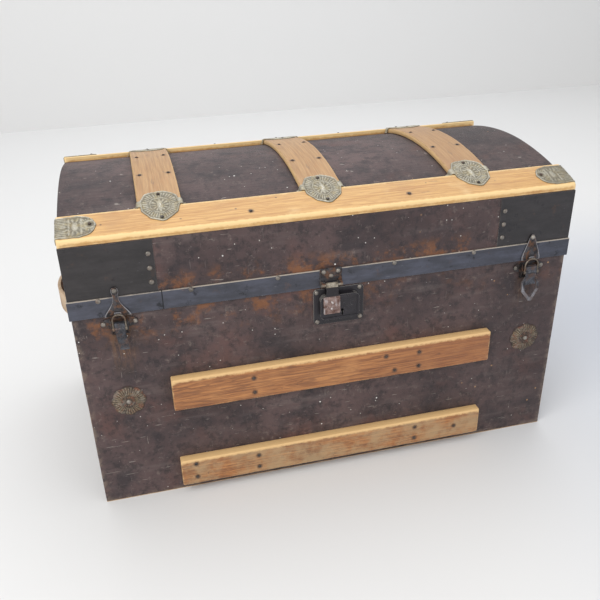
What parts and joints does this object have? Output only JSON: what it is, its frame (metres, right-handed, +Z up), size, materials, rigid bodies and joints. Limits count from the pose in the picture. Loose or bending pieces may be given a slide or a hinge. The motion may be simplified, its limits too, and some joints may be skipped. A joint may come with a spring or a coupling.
{
  "type": "dome-topped travelling trunk",
  "caption": "Canvas-covered wooden trunk with a shallow arched lid, hardwood slats, tin clamps, an iron lid band, a hasp lock, draw latches and leather end handles.",
  "frame": {"origin": "middle of the flat underside, on the floor", "axes": "+X along the length to the viewer's right, +Y to the hinged back, +Z up; the lock faces -Y"},
  "size_m": [0.771, 0.4026, 0.451],
  "materials": {
    "pine_boards": "bare sawn pine, darkened with age",
    "painted_canvas": "dark maroon paint on canvas, scuffed and speckled",
    "lining_paper": "aged plain paper",
    "oak_slats": "orange-brown varnish, worn pale on the edges",
    "worn_lid_slats": "worn pale varnished hardwood",
    "pressed_tin": "tarnished embossed tin",
    "black_iron": "black japanned iron, rubbed at the edges",
    "latch_steel": "dark rust-stained steel",
    "coppered_hasp": "worn copper wash",
    "handle_leather": "dry tan leather",
    "rivet_heads": "dull domed steel"
  },
  "bodies": {
    "chest_body": {"back_board": "pine_boards", "back_slat_lower": "oak_slats", "back_slat_upper": "oak_slats", "body_covering": "painted_canvas", "body_lining": "lining_paper", "body_rivets": "rivet_heads", "body_slat_nails": "rivet_heads", "bottom_board": "pine_boards", "front_board": "pine_boards", "front_slat_lower": "oak_slats", "front_slat_upper": "oak_slats", "hinge_pins": "latch_steel", "latch_lever_pins": "latch_steel", "left_end_board": "pine_boards", "left_handle": "handle_leather", "left_handle_caps": "latch_steel", "left_hinge_lower_leaf": "black_iron", "left_latch_base": "latch_steel", "left_rosette": "pressed_tin", "lock_case": "black_iron", "lock_plate": "black_iron", "right_end_board": "pine_boards", "right_handle": "handle_leather", "right_handle_caps": "latch_steel", "right_hinge_lower_leaf": "black_iron", "right_latch_base": "latch_steel", "right_rosette": "pressed_tin", "tray_cleats": "pine_boards"},
    "lid": {"lid_front_board": "pine_boards", "lid_back_board": "pine_boards", "lid_left_end": "pine_boards", "lid_right_end": "pine_boards", "lid_staves": "pine_boards", "lid_covering": "painted_canvas", "lid_front_slat": "worn_lid_slats", "lid_back_slat": "worn_lid_slats", "cross_slat_left": "worn_lid_slats", "cross_slat_middle": "worn_lid_slats", "cross_slat_right": "worn_lid_slats", "front_slat_clamps": "pressed_tin", "back_slat_clamps": "pressed_tin", "corner_clamps": "pressed_tin", "lid_band": "black_iron", "lid_corner_plates": "black_iron", "hasp_bracket": "latch_steel", "hasp_pin": "latch_steel", "left_latch_catch": "latch_steel", "right_latch_catch": "latch_steel", "left_hinge_upper_leaf": "black_iron", "right_hinge_upper_leaf": "black_iron", "lid_rivets": "rivet_heads", "band_nails": "rivet_heads", "lid_slat_nails": "rivet_heads"},
    "hasp_swinging": {"hasp": "coppered_hasp", "hasp_staple": "latch_steel"},
    "lock_bolt_sliding": {"lock_bolt": "latch_steel"},
    "left_lever": {"left_latch_lever": "latch_steel"},
    "left_link": {"left_latch_link": "latch_steel"},
    "right_lever": {"right_latch_lever": "latch_steel"},
    "right_link": {"right_latch_link": "latch_steel"}
  },
  "joints": [
    {"name": "lid_hinge", "type": "hinge", "parent": "chest_body", "child": "lid", "pos_m": [0, 0.1916, 0.309], "axis": [-1, 0, 0], "range_deg": [0, 100]},
    {"name": "hasp_hinge", "type": "hinge", "parent": "lid", "child": "hasp_swinging", "pos_m": [-0.008, -0.1926, 0.315], "axis": [-1, 0, 0], "range_deg": [0, 120]},
    {"name": "lock_bolt_slide", "type": "slide", "parent": "chest_body", "child": "lock_bolt_sliding", "axis": [-1, 0, 0], "range_m": [0, 0.006]},
    {"name": "left_lever_hinge", "type": "hinge", "parent": "chest_body", "child": "left_lever", "pos_m": [-0.296, -0.192, 0.3], "axis": [-1, 0, 0], "range_deg": [0, 135]},
    {"name": "left_link_hinge", "type": "hinge", "parent": "left_lever", "child": "left_link", "pos_m": [-0.296, -0.1955, 0.293], "axis": [1, 0, 0], "range_deg": [0, 135]},
    {"name": "right_lever_hinge", "type": "hinge", "parent": "chest_body", "child": "right_lever", "pos_m": [0.296, -0.192, 0.3], "axis": [-1, 0, 0], "range_deg": [0, 135]},
    {"name": "right_link_hinge", "type": "hinge", "parent": "right_lever", "child": "right_link", "pos_m": [0.296, -0.1955, 0.293], "axis": [1, 0, 0], "range_deg": [0, 135]}
  ],
  "couplings": [
    {"joint": "left_link_hinge", "follows": "left_lever_hinge", "ratio": 1},
    {"joint": "right_link_hinge", "follows": "right_lever_hinge", "ratio": 1}
  ]
}
